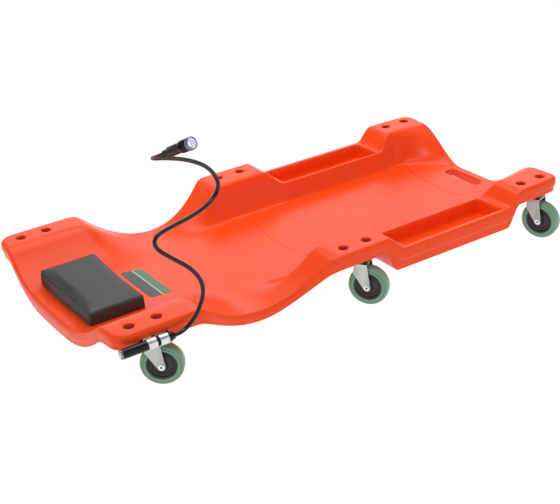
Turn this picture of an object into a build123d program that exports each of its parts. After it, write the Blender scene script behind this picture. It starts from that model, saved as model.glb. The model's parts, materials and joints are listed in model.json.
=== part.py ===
from build123d import *
import math
import os

# Mechanics creeper: a one-piece plastic bed on six swivel casters, with a padded
# headrest and a clip-on torch on a gooseneck. Millimetres, +Z up, origin on the floor
# under the middle of the bed, +X towards the foot end, -Y the side with the torch.

# ---- bed heights above the floor
deck_top = 52.0
deck_thick = 20.0
head_rise = 12.0
pad_top = 117.0
pad_bottom = 98.0
seat_depth = 0.4
tray_rim = 87.0
tray_bottom = 47.0
tray_floor = 60.0

# ---- bed plan
head_end = -508.0
foot_end = 491.0
head_bow = 8.0
foot_bow = 7.0
head_half = 245.0
foot_half = 239.0
side_half = 242.0
waist_half = 213.5
waist_plan_x = (-328.0, -178.0, -58.0)
relief_x = (-336.0, -198.0, -62.0)
head_corner = 28.0
foot_corner = 24.0
crest_power = 8
bowl_power = 2.2
seat_gap = 2.0
seat_deep = 10.0
screw_bore = 2.3
screw_head_bore = 6.0
bed_block = 160.0
pocket_x = (102.0, 343.0)
pocket_y = (163.0, 229.0)
slot_centre_x = 450.0
slot_length = 100.0
slot_width = 26.0
slot_lip = 8.0
slot_recess = 12.0
panel_head_x = -4.0
panel_foot_x = 402.0
panel_half = (137.0, 131.0)
panel_bow = 28.0
groove = 2.5
groove_depth = 1.0
panel_cut = 4.0
pocket_draft = 8.0
pocket_corner = 6.0
pocket_taper = 8.0

# ---- stations along the bed where its section changes
head_rise_x = (-400.0, -200.0)
bowl_x = (-330.0, -230.0)
tray_head_x = (58.0, 98.0)
tray_foot_x = (350.0, 386.0)
under_head_x = (47.0, 78.0)
under_foot_x = (350.0, 382.0)
back_x = (-330.0, -40.0)
under_back_x = (-330.0, -62.0)
fan_x = (385.0, 500.0)

# ---- casters
caster_x = (-435.0, 0.0, 435.0)
caster_y = (217.0, 214.0, 212.0)
station_name = ("head", "mid", "foot")
wheel_radius = 37.5
tyre_width = 24.0
hub_radius = 26.5
trail = 25.0
trail_angle = (-36.0, -54.0, -68.0)
plate_size = (74.0, 42.0, 3.0)
bolt_pitch = 51.3
bolt_r = 3.0
pocket_r = 9.0
pocket_floor = 106.0
bolt_play = 0.3
bolt_low = 86.5
bolt_flats = 10.0
washer_r = 7.0
washer_thick = 1.5
nut_thick = 6.0
bolt_head = 4.0
race_r = 13.5
ball_r = 2.5
balls_per_race = 12
ball_z = 89.4
crown_z = (81.0, 84.0)
kingpin_r = 5.0
axle_r = 4.0
fork_gap = 27.4
leg_thick = 2.5
running = 0.06

# ---- headrest and label
rest_x = (-478.0, -368.0)
rest_half = 102.0
rest_base = deck_top + head_rise
rest_top = 96.0
rest_middle = (rest_x[0] + rest_x[1]) / 2
rest_corner = 5.0
rest_screw = (30.0, 70.0)
rest_screw_r = 1.8
board_thick = 6.0
board_inset = 3.0
label_x = (-340.0, -296.0)
label_half = 59.5
label_thick = 0.3
label_corner = 3.0

# ---- torch, gooseneck and lamp
torch_y = -258.0
torch_z = 96.0
torch_r = 8.5
torch_x = (-497.0, -410.0)
band_x = (-452.0, -430.0)
band_width = 16.0
band_r = (8.7, 9.9)
strip_z = (90.0, 103.0)
strip_thick = 2.0
strip_reach = 8.0
screw_z = 100.8
strip_y = -245.2
clip_screw_r = 1.6
clip_screw_reach = 10.0
neck_r = 4.0
neck_gap = 2.4
bend_share = 0.45
neck_route = [
    (-409, -258, 96), (-385, -258, 96), (-361, -258, 112), (-343, -258, 140), (-338, -257, 170),
    (-355, -254, 201), (-388, -250, 229), (-413, -246, 253), (-409, -243, 271), (-375, -240, 277),
    (-325, -234, 282), (-286, -229, 297), (-275, -227, 322), (-298, -233, 356), (-339, -245, 382),
    (-384, -262, 402), (-421, -282, 417), (-423, -308, 428), (-417, -325, 437),
]
neck_cuts = (3, 6, 9, 12, 14)
lamp_direction = (0.298, -0.846, 0.442)
lamp_mouth = 54.0
lamp_end = 61.0
lamp_grip_r = 10.2
lamp_barrel_r = 8.8
lamp_bore_r = 7.4


def ease(t):
    """Smooth step from 0 to 1."""
    t = max(0.0, min(1.0, t))
    return t * t * (3 - 2 * t)


def rise(x, start, end):
    return ease((x - start) / (end - start))


def bowl(t):
    """Concave sweep from 0 at t = 0 to 1 with a rounded crest at t = 1."""
    share = max(0.0, t) ** bowl_power
    return share / (1 + share ** crest_power) ** (1 / crest_power)


def relief(x):
    """Share of the full pad height left by the arm relief: two parabolas that meet at the waist."""
    head, waist, foot = relief_x
    span = waist - head if x < waist else foot - waist
    return min(1.0, ((x - waist) / span) ** 2)


def deck(x):
    """Height of the deck's middle: level under the back, a little higher under the head."""
    return deck_top + head_rise * (1 - rise(x, *head_rise_x))


def flank_top(x):
    """Height of the bed's outer flank."""
    if x < 0:
        return deck_top + (pad_top - deck_top) * relief(x)
    dip = rise(x, *tray_head_x) - rise(x, *tray_foot_x)
    return pad_top - (pad_top - tray_rim) * dip


def flank_bottom(x):
    """Underside of the outer flank: flat over the casters, lower under the trays."""
    if x < 0:
        low = deck_top - deck_thick
        return low + (pad_bottom - low) * relief(x)
    dip = rise(x, *under_head_x) - rise(x, *under_foot_x)
    return pad_bottom - (pad_bottom - tray_bottom) * dip


def across(x, y, start, end):
    """Share of the climb from deck to flank at y: a bowl under the head, an S-curve elsewhere."""
    head = 1 - rise(x, *bowl_x)
    return head * bowl((y - start) / (end - start)) + (1 - head) * rise(y, start, end)


def upper(x, y):
    """Top surface: the deck climbs to the flank between start and end, both measured across."""
    start = 50 + 91 * rise(x, *back_x) - 101 * rise(x, *fan_x)
    end = 184 - 6 * rise(x, -200, -60) - 20 * rise(x, *tray_head_x) + 18 * rise(x, *tray_foot_x)
    middle = deck(x)
    return middle + seat_depth + (flank_top(x) - middle) * across(x, y, start, end)


def lower(x, y):
    """Bottom surface: follows the top about 20 mm below it and clears the turning casters."""
    start = 45 + 95 * rise(x, *under_back_x) - 85 * rise(x, *fan_x)
    end = 184 - 12 * rise(x, *under_back_x) - 14 * rise(x, *tray_head_x) + 10 * rise(x, *tray_foot_x)
    middle = deck(x) - deck_thick
    return middle + (flank_bottom(x) - seat_depth - middle) * across(x, y, start, end)


def half_width(x):
    """Half the bed's width in the waist, from the head pads to the mid pads."""
    head, waist, foot = waist_plan_x
    full, end = (head_half, head) if x < waist else (side_half, foot)
    share = min(1.0, abs((x - waist) / (end - waist)))
    return waist_half + (full - waist_half) * share ** bowl_power


def sheet(height, columns=90, rows=34):
    """Smooth face through height(x, y), a little larger than half of the bed all round."""
    margin = 12
    width = foot_end - head_end + 2 * margin
    depth = head_half + 2 * margin
    grid = []
    for i in range(columns):
        x = head_end - margin + width * i / (columns - 1)
        spots = [depth * j / (rows - 1) - margin for j in range(rows)]
        grid.append([Vector(x, y, height(x, abs(y))) for y in spots])
    return Face.make_surface_from_array_of_points(grid, tol=0.5)


def plan_half():
    """Half of the bed's outline in plan."""
    head_x = head_end + head_bow
    foot_x = foot_end
    first, _, last = waist_plan_x
    steps = 20
    spots = [first + (last - first) * i / steps for i in range(steps + 1)]
    waist = [(x, half_width(x)) for x in spots]
    edges = [
        ThreePointArc((head_end, 0), (head_end + 2, 110), (head_x, head_half - head_corner)),
        ThreePointArc((head_x, head_half - head_corner),
                      (head_x + 0.29 * head_corner, head_half - 0.29 * head_corner),
                      (head_x + head_corner, head_half)),
        Line((head_x + head_corner, head_half), waist[0]),
        Spline(*waist),
        Line(waist[-1], (400, side_half)),
        Line((400, side_half), (foot_x - foot_corner, foot_half)),
        ThreePointArc((foot_x - foot_corner, foot_half),
                      (foot_x - 0.29 * foot_corner, foot_half - 0.29 * foot_corner),
                      (foot_x, foot_half - foot_corner)),
        ThreePointArc((foot_x, foot_half - foot_corner), (foot_end - 5, 110), (foot_end - foot_bow, 0)),
        Line((foot_end - foot_bow, 0), (head_end, 0)),
    ]
    return make_face(Wire(edges))


def panel_outline(shrink):
    head, foot = panel_head_x + shrink, panel_foot_x - shrink
    wide, narrow = panel_half[0] - shrink, panel_half[1] - shrink
    return make_face(Wire([
        Line((head, -wide), (foot, -narrow)),
        ThreePointArc((foot, -narrow), (foot - panel_bow, 0), (foot, narrow)),
        Line((foot, narrow), (head, wide)),
        ThreePointArc((head, wide), (head - panel_bow, 0), (head, -wide)),
    ]))


def cut_panel(bed):
    """Flat back panel with a shallow groove round it."""
    ring = panel_outline(0) - panel_outline(groove)
    bed -= Pos(0, 0, deck_top - groove_depth) * extrude(ring, panel_cut)
    return bed - Pos(0, 0, deck_top) * extrude(panel_outline(groove / 2), panel_cut)


def upright(x, y, low, high, radius):
    """Upright pin or drill from one height to another."""
    return Pos(x, y, low) * extrude(Circle(radius), high - low)


def cut_tray(half):
    mid_x = (pocket_x[0] + pocket_x[1]) / 2
    mid_y = (pocket_y[0] + pocket_y[1]) / 2
    length = pocket_x[1] - pocket_x[0] - pocket_draft
    width = pocket_y[1] - pocket_y[0] - pocket_draft
    opening = RectangleRounded(length, width, pocket_corner)
    depth = pad_top - tray_floor
    return half - Pos(mid_x, mid_y, tray_floor) * extrude(opening, depth, taper=-pocket_taper)


def cut_caster_seats(half):
    length, width, _ = plate_size
    seat = Rectangle(length + 2 * seat_gap, width + 2 * seat_gap)
    for x, y in zip(caster_x, caster_y):
        half -= Pos(x, y, pad_bottom - seat_deep) * extrude(seat, seat_deep)
        for side in (-1, 1):
            spot = x + side * bolt_pitch / 2
            half -= upright(spot, y, pocket_floor, bed_block, pocket_r)
            half -= upright(spot, y, pad_bottom - seat_deep, pocket_floor + 1, bolt_r + bolt_play)
    return half


def cut_headrest_seat(bed):
    floor = (Align.CENTER, Align.CENTER, Align.MIN)
    length = rest_x[1] - rest_x[0] + 2 * seat_gap
    bed -= Pos(rest_middle, 0, rest_base) * Box(length, 2 * (rest_half + seat_gap), deck_thick, align=floor)
    for x, y in headrest_spots():
        bed -= upright(x, y, 0, bed_block, screw_bore)
        bed -= upright(x, y, 0, rest_base - deck_thick, screw_head_bore)
    return bed


def cut_hand_slot(bed):
    """Slot through the deck, with the underside cut back round it to a thin lip."""
    slot = SlotOverall(slot_length, slot_width, rotation=90)
    recess = SlotOverall(slot_length + 2 * slot_recess, slot_width + 2 * slot_recess, rotation=90)
    bed -= Pos(slot_centre_x, 0, 0) * extrude(slot, bed_block)
    return bed - Pos(slot_centre_x, 0, 0) * extrude(recess, deck_top - slot_lip)


def make_bed():
    half = extrude(plan_half(), bed_block)
    half -= extrude(sheet(upper), bed_block, dir=(0, 0, 1))
    half -= extrude(sheet(lower), bed_block, dir=(0, 0, -1))
    half = cut_caster_seats(cut_tray(half))
    bed = half + mirror(half, about=Plane.XZ)
    bed = cut_hand_slot(bed)
    bed = cut_panel(bed)
    bed = cut_headrest_seat(bed)
    bed -= label_plane() * label_block(seat_gap, seat_deep)
    for x in screw_spots():
        bed -= Pos(x, -head_half, screw_z) * Rot(90, 0, 0) * Cylinder(clip_screw_r, 2 * clip_screw_reach)
    return bed


def headrest_spots():
    reach_x, reach_y = rest_screw
    return [(rest_middle + a * reach_x, b * reach_y) for a in (-1, 1) for b in (-1, 1)]


def bolt_spots():
    for x, y in zip(caster_x, caster_y):
        for side in (-1, 1):
            for end in (-1, 1):
                yield x + end * bolt_pitch / 2, side * y


def hexagon(across_flats, height):
    return extrude(RegularPolygon(across_flats / 2, 6, major_radius=False), height)


def caster_bolt():
    seat = pocket_floor + washer_thick
    head = Pos(0, 0, seat) * hexagon(bolt_flats, bolt_head)
    return head + upright(0, 0, bolt_low, seat, bolt_r)


def caster_washer():
    return Pos(0, 0, pocket_floor) * extrude(Circle(washer_r) - Circle(bolt_r + 0.2), washer_thick)


def caster_nut():
    top = pad_bottom - plate_size[2]
    return Pos(0, 0, top - nut_thick) * (hexagon(bolt_flats, nut_thick) - extrude(Circle(bolt_r), nut_thick))


def group(shape, spots):
    return Compound(children=[Pos(x, y, 0) * shape for x, y in spots])


def caster_plate():
    """Mounting plate with the pressed upper ball race under it."""
    length, width, thick = plate_size
    base = pad_bottom - thick
    plate = Pos(0, 0, base) * extrude(RectangleRounded(length, width, 5), thick)
    plate += Pos(0, 0, base - 3.2) * extrude(Circle(18), 3.2)
    plate -= Pos(0, 0, base) * Cylinder(kingpin_r + 0.02, 20)
    for side in (-1, 1):
        plate -= Pos(side * bolt_pitch / 2, 0, base) * Cylinder(bolt_r + 0.3, 20)
    plate -= Pos(0, 0, ball_z) * Torus(race_r, ball_r + running)
    return plate


def ball_ring():
    ball = Sphere(ball_r)
    step = 360 / balls_per_race
    return [Rot(0, 0, i * step) * Pos(race_r, 0, ball_z) * ball for i in range(balls_per_race)]


def kingpin():
    """Rivet that holds the fork to the plate: flush at the top, headed under the crown."""
    pin = Pos(0, 0, 80.7) * extrude(Circle(kingpin_r), pad_bottom - 80.7)
    return pin + Pos(0, 0, 78.4) * extrude(Circle(8), 2.4)


def leg_profile():
    """Side view of a fork leg: X is the trail, Y the height."""
    tip_r = 6.8
    outline = make_hull(
        (Pos(trail, wheel_radius) * Circle(tip_r)).edges()
        + Polygon((3, crown_z[1]), (26, crown_z[1]), (26, 70), (-1, 66), align=None).edges()
    )
    return outline


def fork():
    low, high = crown_z
    crown = extrude(Circle(20), high - low) + Pos(13, 0, 0) * extrude(Rectangle(26, fork_gap), high - low)
    body = Pos(0, 0, low) * crown
    body += Pos(0, 0, high - 0.5) * extrude(Circle(18), ball_z - high)
    body -= Pos(0, 0, ball_z) * Torus(race_r, ball_r + running)
    body -= Pos(0, 0, 85) * Cylinder(kingpin_r + running, 30)
    for side in (-1, 1):
        leg = extrude(Plane.XZ * leg_profile(), leg_thick / 2, both=True)
        body += Pos(0, side * (fork_gap + leg_thick) / 2, 0) * leg
    for side in (-1, 1):
        body -= Pos(trail, side * 15, wheel_radius) * Rot(90, 0, 0) * Cylinder(axle_r + 0.02, 8)
    return body


def axle():
    """Hollow axle rivet through both legs."""
    reach = fork_gap / 2 + leg_thick
    pin = extrude(Circle(axle_r) - Circle(2), reach + 1.2, both=True)
    for side in (-1, 1):
        pin += Pos(0, 0, side * (reach + 0.75)) * extrude(Circle(5.4) - Circle(2), 0.75, both=True)
    return Pos(trail, 0, wheel_radius) * Rot(90, 0, 0) * pin


def hub():
    """Moulded hub: bearing boss, web and stepped rings under the tyre."""
    rim = tyre_width / 2 - 2
    half = [
        (axle_r + 0.05, 0), (axle_r + 0.05, fork_gap / 2 - 0.5), (8.5, fork_gap / 2 - 0.5), (9.5, 9),
        (12, 6.5), (17, 6.5), (18, 8), (20, 8), (21, rim), (hub_radius, rim), (hub_radius, 0),
    ]
    section = Polyline(*half, close=True)
    ring = revolve(Plane.XZ * make_face(section), Axis.Z)
    ring = ring + mirror(ring, about=Plane.XY)
    return Pos(trail, 0, wheel_radius) * Rot(90, 0, 0) * ring


def tyre():
    body = extrude(Circle(wheel_radius), tyre_width / 2, both=True)
    body = fillet(body.edges(), 4)
    body -= Cylinder(hub_radius, 60)
    return Pos(trail, 0, wheel_radius) * Rot(90, 0, 0) * body


def rest_box(low, high, inset):
    length = rest_x[1] - rest_x[0] - 2 * inset
    outline = RectangleRounded(length, 2 * (rest_half - inset), rest_corner)
    return Pos(rest_middle, 0, low) * extrude(outline, high - low)


def headrest_board():
    board = rest_box(rest_base, rest_base + board_thick, board_inset)
    for x, y in headrest_spots():
        board -= upright(x, y, rest_base - 1, rest_base + board_thick - 1, rest_screw_r + 0.05)
    return board


def headrest_cushion():
    """Padded cover, wrapped down over the edges of the board."""
    cushion = rest_box(rest_base, rest_top, 0)
    cushion = fillet(cushion.edges().group_by(Axis.Z)[-1], 4)
    return cushion - rest_box(rest_base - 1, rest_base + board_thick, board_inset)


def headrest_screw():
    head_top = rest_base - deck_thick
    shank = upright(0, 0, head_top - 0.5, rest_base + board_thick - 1.2, rest_screw_r)
    return shank + upright(0, 0, head_top - 2.2, head_top, 4.2)


def label_plane():
    """Plane of the deck under the label, along the gentle climb towards the head."""
    middle = (label_x[0] + label_x[1]) / 2
    fall = Vector(label_x[1] - label_x[0], 0, deck(label_x[1]) - deck(label_x[0]))
    return Plane(origin=(middle, 0, deck(middle)), x_dir=fall, z_dir=Vector(0, 1, 0).cross(fall) * -1)


def label_block(margin, thick):
    size = (label_x[1] - label_x[0] + 2 * margin, 2 * (label_half + margin))
    return extrude(RectangleRounded(*size, label_corner), thick)


def along_x(shape, x, y=torch_y, z=torch_z):
    """Put a shape drawn along +Z on the torch's axis, from x towards the foot end."""
    return Pos(x, y, z) * Rot(0, 90, 0) * shape


def strip_ends():
    return band_x[0] - strip_reach, band_x[1] + band_width + strip_reach


def screw_spots():
    low, high = strip_ends()
    return [low + strip_reach / 2, high - strip_reach / 2]


def clip_strip():
    """Strip behind the torch that carries the two spring bands."""
    low, high = strip_ends()
    box = Box(high - low, strip_thick, strip_z[1] - strip_z[0])
    strip = Pos((low + high) / 2, strip_y - strip_thick / 2, sum(strip_z) / 2) * box
    for x in screw_spots():
        strip -= Pos(x, strip_y, screw_z) * Rot(90, 0, 0) * Cylinder(clip_screw_r + 0.1, 4 * strip_thick)
    return strip


def clip_band(x):
    """Spring band round the torch, with a foot against the strip."""
    ring = Circle(band_r[1]) - Circle(band_r[0])
    gap = strip_y - strip_thick - torch_y - band_r[0]
    foot = Pos(0, band_r[0] + 0.3 + gap / 2 - 0.15) * Rectangle(6, gap - 0.3)
    return along_x(extrude(ring + foot, band_width), x)


def clip_screw(x):
    """Pan head screw from the strip into the pad's side wall."""
    head = extrude(Circle(2.9), 1.2)
    shank = Pos(0, 0, -8) * extrude(Circle(clip_screw_r), 8.2)
    return Pos(x, strip_y - strip_thick, screw_z) * Rot(90, 0, 0) * (head + shank)


def torch_tube():
    length = torch_x[1] - torch_x[0]
    tube = extrude(Circle(torch_r), length) - Pos(0, 0, 2) * extrude(Circle(torch_r - 1.5), length)
    tube -= Cylinder(5.5, 10)
    return along_x(tube, torch_x[0])


def torch_socket():
    """Collar that closes the tube and grips the gooseneck."""
    plug = extrude(Circle(torch_r - 1.5 - 0.03), 8)
    nose = Pos(0, 0, 8) * extrude(Circle(torch_r), 2)
    cone = loft([Plane((0, 0, 10)) * Circle(torch_r - 1), Plane((0, 0, 17)) * Circle(neck_r + 1.4)])
    socket = plug + nose + cone
    socket -= Pos(0, 0, 9) * extrude(Circle(neck_r + 0.02), 10)
    return along_x(socket, torch_x[1] - 8)


def tail_ring():
    """Pale ring behind the tube that guides the push button."""
    ring = extrude(Circle(torch_r - 0.4) - Circle(5.5), 2.5)
    return along_x(ring, torch_x[0] - 2.5)


def tail_button():
    button = extrude(Circle(5.4), 5.6)
    button += Pos(0, 0, 5.6) * extrude(Circle(6.2), 1.2)
    return along_x(button, torch_x[0] - 3.6)


def torch_cells():
    cell = extrude(Circle(5.2), 33)
    tip = Pos(0, 0, 33) * extrude(Circle(1.9), 1)
    first = torch_x[0] + 8
    return Compound(children=[along_x(cell + tip, first), along_x(cell + tip, first + 34.2)])


def neck_arcs(points):
    """Largest arc radius for each corner of a run of points."""
    radii = []
    for a, b, c in zip(points, points[1:], points[2:]):
        turn = math.radians((b - a).get_angle(c - b))
        radii.append(bend_share * min((b - a).length, (c - b).length) / math.tan(turn / 2))
    return radii


def neck_pieces():
    """The gooseneck as tubes between its bending points, with a small gap at each."""
    route = [Vector(*p) for p in neck_route]
    starts, runs = route[0], []
    first = 1
    for cut in neck_cuts:
        middle = (route[cut] + route[cut + 1]) * 0.5
        way = (route[cut + 1] - route[cut]).normalized() * (neck_gap / 2)
        runs.append([starts] + route[first:cut + 1] + [middle - way])
        starts, first = middle + way, cut + 1
    runs.append([starts] + route[first:])
    pieces = []
    for points in runs:
        path = FilletPolyline(*points, radius=neck_arcs(points))
        start = Plane(origin=points[0], z_dir=points[1] - points[0])
        pieces.append(sweep(start * Circle(neck_r), path=path))
    return pieces


def lamp_plane():
    return Plane(origin=neck_route[-1], z_dir=lamp_direction)


def lamp_part(*half):
    """Turned piece of the lamp from its half section, radius and height along the barrel."""
    return revolve(Plane.XZ * make_face(Polyline(*half, close=True)), Axis.Z)


def lamp_body():
    """Lamp barrel: stepped tail round the gooseneck, plain body and a grooved grip."""
    grip, waist = lamp_grip_r, lamp_grip_r - 0.8
    return lamp_part(
        (0, 0.4), (0, 48), (lamp_bore_r, 48), (lamp_bore_r, lamp_mouth), (grip, lamp_mouth),
        (grip, 50.8), (waist, 50.2), (grip, 49.6), (grip, 47.2), (waist, 46.6), (grip, 46.0),
        (grip, 43.6), (waist, 43.0), (grip, 42.4), (grip, 38), (lamp_barrel_r, 34),
        (lamp_barrel_r, 9), (6.6, 7.6), (5.2, 7), (5.2, -3), (neck_r + 0.5, -3), (neck_r + 0.5, 0.4),
    )


def lamp_bezel():
    inner, outer = lamp_grip_r - 1, lamp_grip_r + 1
    return lamp_part(
        (inner, lamp_mouth), (outer, lamp_mouth), (outer + 0.2, lamp_mouth + 1),
        (outer + 0.2, lamp_end - 1), (outer - 0.6, lamp_end), (inner, lamp_end),
    )


def lamp_lens():
    return Pos(0, 0, lamp_end - 3) * extrude(Circle(lamp_grip_r - 1.05), 2)


def lamp_led():
    """LED board with its reflector cup."""
    seat, rim = lamp_bore_r - 0.1, lamp_end - 3.2
    return lamp_part(
        (0, 48.2), (seat, 48.2), (seat, lamp_mouth), (seat + 1.7, lamp_mouth + 0.2), (seat + 1.7, rim),
        (seat + 1.3, rim), (3, 50.5), (0, 50.5),
    )


def lamp_clip():
    """Slim pocket clip along the lower side of the barrel."""
    inner = lamp_grip_r + 1.2
    blade = Pos(0, -inner - 0.5, 25) * Box(5, 1, 36)
    foot = Pos(0, -(lamp_barrel_r + inner) / 2, 10.5) * Box(5, inner - lamp_barrel_r - 0.1, 2.5)
    return blade + foot


def save(shape, name):
    shape.label = name
    export_step(shape, f"parts/{name}.step")


def place_caster(name, x, y, angle):
    """Plate square to the bed; fork and wheel turned to trail the same way."""
    fixed = Pos(x, y, 0)
    turned = fixed * Rot(0, 0, angle)
    save(fixed * caster_plate(), f"plate_{name}")
    save(turned * fork(), f"fork_{name}")
    save(turned * axle(), f"axle_{name}")
    save(turned * hub(), f"hub_{name}")
    save(turned * tyre(), f"tyre_{name}")


def main():
    os.makedirs("parts", exist_ok=True)
    save(make_bed(), "bed")
    save(headrest_board(), "headrest_board")
    save(headrest_cushion(), "headrest_cushion")
    save(group(headrest_screw(), headrest_spots()), "headrest_screws")
    save(label_plane() * label_block(0, label_thick), "deck_label")
    save(group(caster_bolt(), bolt_spots()), "caster_bolts")
    save(group(caster_washer(), bolt_spots()), "caster_washers")
    save(group(caster_nut(), bolt_spots()), "caster_nuts")
    pins, balls = [], []
    for station, x, y, angle in zip(station_name, caster_x, caster_y, trail_angle):
        for side, sign in (("near", -1), ("far", 1)):
            place_caster(f"{station}_{side}", x, sign * y, angle)
            pins.append(Pos(x, sign * y, 0) * kingpin())
            balls += [Pos(x, sign * y, 0) * ball for ball in ball_ring()]
    save(Compound(children=pins), "caster_kingpins")
    save(Compound(children=balls), "caster_balls")
    save(clip_strip(), "torch_strip")
    save(Compound(children=[clip_band(x) for x in band_x]), "torch_bands")
    save(Compound(children=[clip_screw(x) for x in screw_spots()]), "torch_screws")
    save(torch_tube(), "torch_tube")
    save(torch_socket(), "torch_socket")
    save(tail_ring(), "torch_tail_ring")
    save(tail_button(), "torch_button")
    save(torch_cells(), "torch_cells")
    for number, piece in enumerate(neck_pieces(), 1):
        save(piece, f"neck_{number}")
    for name, make in (("lamp_body", lamp_body), ("lamp_bezel", lamp_bezel), ("lamp_lens", lamp_lens),
                       ("lamp_led", lamp_led), ("lamp_clip", lamp_clip)):
        save(lamp_plane() * make(), name)


main()
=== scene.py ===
import json
import math

import bmesh
import bpy
import numpy as np
from mathutils import Matrix, Vector


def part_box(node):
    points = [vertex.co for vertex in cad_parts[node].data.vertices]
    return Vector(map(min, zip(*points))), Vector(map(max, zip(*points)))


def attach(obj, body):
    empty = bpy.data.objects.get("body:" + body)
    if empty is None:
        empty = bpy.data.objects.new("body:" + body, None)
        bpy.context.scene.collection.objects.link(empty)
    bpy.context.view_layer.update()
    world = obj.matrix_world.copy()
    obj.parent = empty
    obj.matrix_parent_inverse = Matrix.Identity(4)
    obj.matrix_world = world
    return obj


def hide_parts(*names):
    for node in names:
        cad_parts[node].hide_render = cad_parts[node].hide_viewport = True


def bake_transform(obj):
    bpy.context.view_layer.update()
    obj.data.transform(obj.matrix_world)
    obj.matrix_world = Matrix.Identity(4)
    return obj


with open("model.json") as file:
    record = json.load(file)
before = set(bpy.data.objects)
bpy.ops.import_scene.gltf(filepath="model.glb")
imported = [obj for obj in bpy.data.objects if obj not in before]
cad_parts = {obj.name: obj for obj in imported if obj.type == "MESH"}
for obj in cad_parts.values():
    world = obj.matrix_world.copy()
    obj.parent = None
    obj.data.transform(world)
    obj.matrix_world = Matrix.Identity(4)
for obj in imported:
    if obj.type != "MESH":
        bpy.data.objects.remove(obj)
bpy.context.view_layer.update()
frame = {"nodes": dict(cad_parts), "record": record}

MM = 0.001
WORLD_UP = Vector((0, 0, 1))
CASTERS = [f"{station}_{side}" for station in ("head", "mid", "foot") for side in ("near", "far")]


# ------------------------------------------------------------------ camera and light

CAMERA_PLACE = (-1.1859, -1.8236, 1.0931)
CAMERA_TURN = (-32.51, 26.25, -3.62)  # azimuth, elevation and roll in degrees
FOCAL_LENGTH = 79.42  # for a sensor 36 wide

# name, place, point it faces, size, watts
LIGHTS = (
    ("overhead", (0.3, 0.7, 2.4), (0, 0, 0), (2.4, 1.8), 41.5),
    ("back", (1.7, 2.6, 1.5), (0, 0, 0.05), (3.0, 1.4), 15),
    ("head_side", (-2.6, -0.9, 1.5), (-0.1, 0, 0.05), (1.4, 1.2), 7),
    ("spark", (-0.7, -1.3, 2.5), (-0.1, 0, 0.05), (0.35, 0.35), 9),
    ("near_side", (0.9, -2.6, 0.9), (0.1, 0, 0.05), (1.6, 0.8), 4),
)
FLOOR_HALF = 30


def place_camera():
    """The photograph's view: from above the near side of the head end."""
    azimuth, elevation, roll = (math.radians(v) for v in CAMERA_TURN)
    back = Vector((math.sin(azimuth) * math.cos(elevation),
                   -math.cos(azimuth) * math.cos(elevation), math.sin(elevation)))
    right = (-back).cross(WORLD_UP).normalized()
    up = right.cross(-back)
    level_right = right * math.cos(roll) + up * math.sin(roll)
    level_up = up * math.cos(roll) - right * math.sin(roll)
    data = bpy.data.cameras.new("camera")
    data.sensor_width = 36
    data.lens = FOCAL_LENGTH
    camera = bpy.data.objects.new("camera", data)
    turn = Matrix((level_right, level_up, back)).transposed().to_4x4()
    camera.matrix_world = Matrix.Translation(CAMERA_PLACE) @ turn
    bpy.context.scene.collection.objects.link(camera)
    bpy.context.scene.camera = camera


def area_light(name, place, target, size, power):
    data = bpy.data.lights.new(name, "AREA")
    data.shape = "RECTANGLE"
    data.size, data.size_y = size
    data.energy = power
    light = bpy.data.objects.new(name, data)
    turn = (Vector(target) - Vector(place)).to_track_quat("-Z", "Y").to_matrix().to_4x4()
    light.matrix_world = Matrix.Translation(place) @ turn
    bpy.context.scene.collection.objects.link(light)


def studio_sky(horizon=1.0, zenith=0.43, fade=0.16):
    """Even white surround that is brightest just over the floor's edge."""
    world = bpy.data.worlds.new("studio")
    world.use_nodes = True
    tree = world.node_tree
    place = tree.nodes.new("ShaderNodeTexCoord")
    axes = tree.nodes.new("ShaderNodeSeparateXYZ")
    level = tree.nodes.new("ShaderNodeMapRange")
    level.inputs["From Max"].default_value = fade
    level.inputs["To Min"].default_value = horizon
    level.inputs["To Max"].default_value = zenith
    tree.links.new(place.outputs["Generated"], axes.inputs["Vector"])
    tree.links.new(axes.outputs["Z"], level.inputs["Value"])
    tree.links.new(level.outputs["Result"], tree.nodes["Background"].inputs["Strength"])
    tree.nodes["Background"].inputs["Color"].default_value = (1, 1, 1, 1)
    return world


def light_studio():
    for light in LIGHTS:
        area_light(*light)
    bpy.context.scene.world = studio_sky()
    bpy.context.scene.view_settings.view_transform = "Standard"


def lay_floor():
    """White floor that glows by itself, so that the bed's colour does not stain it."""
    mesh = bpy.data.meshes.new("floor")
    corners = [(x * FLOOR_HALF, y * FLOOR_HALF, 0) for x, y in ((-1, -1), (1, -1), (1, 1), (-1, 1))]
    mesh.from_pydata(corners, [], [(0, 1, 2, 3)])
    floor = bpy.data.objects.new("floor", mesh)
    bpy.context.scene.collection.objects.link(floor)
    mesh.materials.append(material("floor_paint", (0.12, 0.12, 0.12), roughness=0.9, spread=0.01,
                                   specular=0.0, emission=8.2))


# ------------------------------------------------------------------ materials

SUBSURFACE_REACH = (0.012, 0.004, 0.002)  # red, green and blue
GRAIN_DEPTH = 0.0005


def srgb(red, green, blue):
    """Display colour 0-255 to linear."""
    def linear(v):
        v /= 255
        return v / 12.92 if v <= 0.04045 else ((v + 0.055) / 1.055) ** 2.4
    return linear(red), linear(green), linear(blue)


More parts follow.
